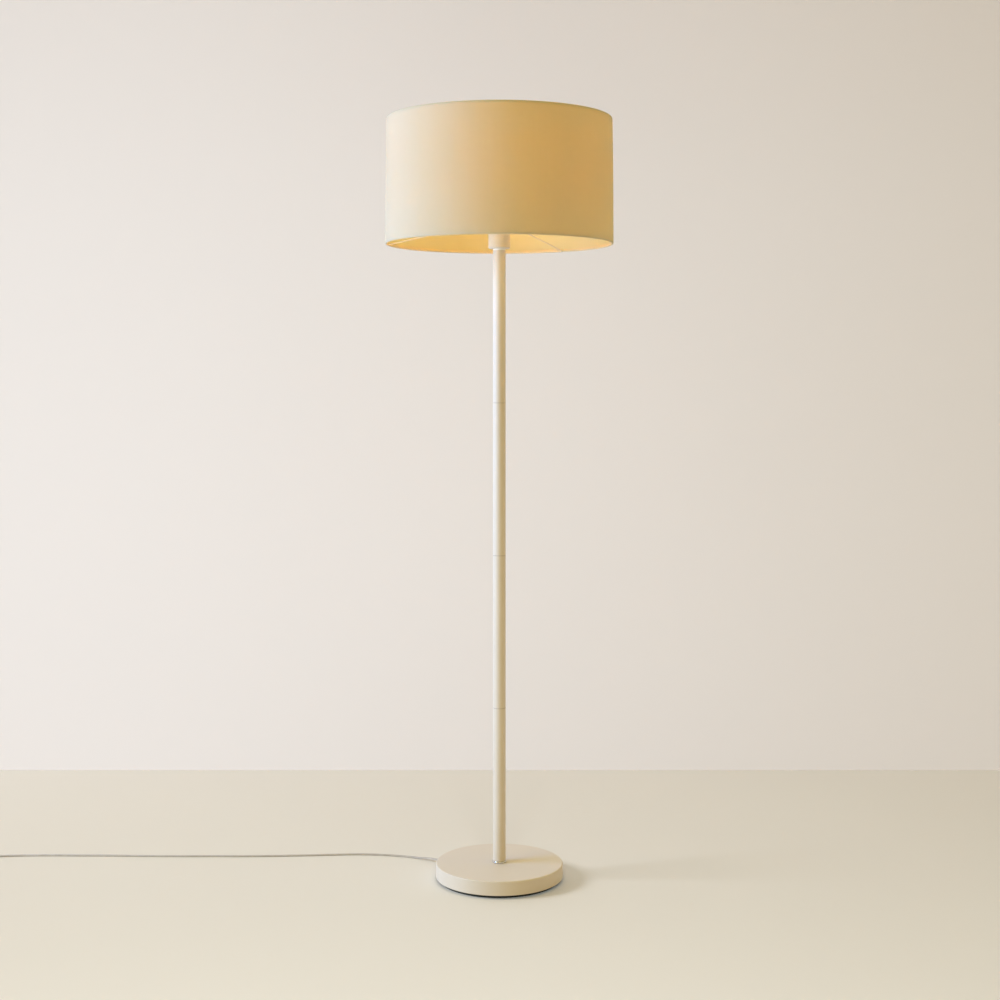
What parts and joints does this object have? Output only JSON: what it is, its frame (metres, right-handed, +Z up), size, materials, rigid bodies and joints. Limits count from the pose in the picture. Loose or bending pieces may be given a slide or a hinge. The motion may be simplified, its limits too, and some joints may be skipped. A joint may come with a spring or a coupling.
{
  "type": "column floor lamp",
  "caption": "Upright floor lamp: weighted round base, slim straight column in screwed sections, drum fabric shade on a wire spider, and a flat mains lead with foot switch and plug.",
  "frame": {"origin": "centre of the base's underside, on the floor", "axes": "+Z up along the column; -Y is the front; the mains lead leaves the base at the back left and runs to -X"},
  "size_m": [1.4437, 0.45, 1.5],
  "materials": {
    "cream_paint": "fine powder coat in warm cream, satin",
    "cast_iron": "rough cast, dark",
    "black_plastic": "moulded, matt black",
    "black_foam": "closed-cell foam sheet, matt black",
    "zinc_steel": "zinc plated",
    "chrome": "polished chrome plate",
    "white_plastic": "moulded, satin white",
    "holder_block": "glazed steatite",
    "brass": "stamped brass",
    "nickel_plate": "nickel plated",
    "flex_pvc": "smooth soft PVC, light warm grey, slight sheen",
    "core_pvc": "core insulation",
    "switch_plastic": "moulded, satin off-white",
    "tie_plastic": "plastic-coated wire tie",
    "shade_fabric": "fine plain weave, light ivory, lets warm light through",
    "shade_film": "translucent white film lining",
    "white_wire": "white powder-coated wire",
    "bulb_opal": "opal diffuser, lit warm white",
    "black_glass": "dark vitrified insulator"
  },
  "bodies": {
    "stand": {"base_cover": "cream_paint", "base_nut": "zinc_steel", "base_pad": "black_foam", "base_rod": "zinc_steel", "base_washer": "zinc_steel", "base_weight": "cast_iron", "bottom_cover": "black_plastic", "bottom_screws": "zinc_steel", "centre_contact": "brass", "coil_tie": "tie_plastic", "cord_bush": "flex_pvc", "cord_coil": "flex_pvc", "cord_end": "flex_pvc", "cord_lead": "flex_pvc", "cord_tail": "flex_pvc", "cup_nut": "zinc_steel", "foot_ring": "chrome", "holder_cap": "white_plastic", "holder_insert": "holder_block", "holder_skirt": "white_plastic", "inner_lead": "flex_pvc", "joiner_1": "zinc_steel", "joiner_2": "zinc_steel", "joiner_3": "zinc_steel", "lead_cores": "core_pvc", "plug_body": "switch_plastic", "plug_lead_end": "flex_pvc", "plug_pins": "nickel_plate", "screw_shell": "nickel_plate", "side_contact": "brass", "socket_cup": "cream_paint", "spacer_ring": "white_plastic", "switch_base": "switch_plastic", "switch_bushes": "flex_pvc", "switch_contacts": "brass", "switch_cover": "switch_plastic", "switch_lead_ends": "flex_pvc", "switch_screws": "zinc_steel", "switch_spring": "zinc_steel", "terminal_screws": "brass", "top_nipple": "zinc_steel", "tube_inserts": "zinc_steel", "tube_section_1": "cream_paint", "tube_section_2": "cream_paint", "tube_section_3": "cream_paint", "tube_section_4": "cream_paint"},
    "shade": {"shade_fabric": "shade_fabric", "shade_liner": "shade_film", "shade_bottom_ring": "white_wire", "shade_top_ring": "white_wire", "spider_hub": "white_wire", "spider_arms": "white_wire"},
    "ring_nut": {"shade_ring_nut": "white_plastic"},
    "bulb": {"bulb_contact": "nickel_plate", "bulb_insulator": "black_glass", "bulb_cap": "nickel_plate", "bulb_housing": "white_plastic", "bulb_globe": "bulb_opal"},
    "button": {"switch_button": "switch_plastic", "switch_bridge": "brass"}
  },
  "joints": [
    {"name": "shade_turn", "type": "hinge", "parent": "stand", "child": "shade", "pos_m": [0, 0, 1.298], "axis": [0, 0, 1], "continuous": true},
    {"name": "ring_nut_turn", "type": "hinge", "parent": "stand", "child": "ring_nut", "pos_m": [0, 0, 1.304], "axis": [0, 0, 1], "continuous": true},
    {"name": "bulb_unscrew", "type": "slide", "parent": "stand", "child": "bulb", "axis": [0, 0, 1], "range_m": [0, 0.026]},
    {"name": "button_press", "type": "slide", "parent": "stand", "child": "button", "axis": [0, 0, -1], "range_m": [0, 0.003], "stiffness_N_per_m": 700, "springref_m": -0.004, "deforming": ["switch_spring"]}
  ]
}
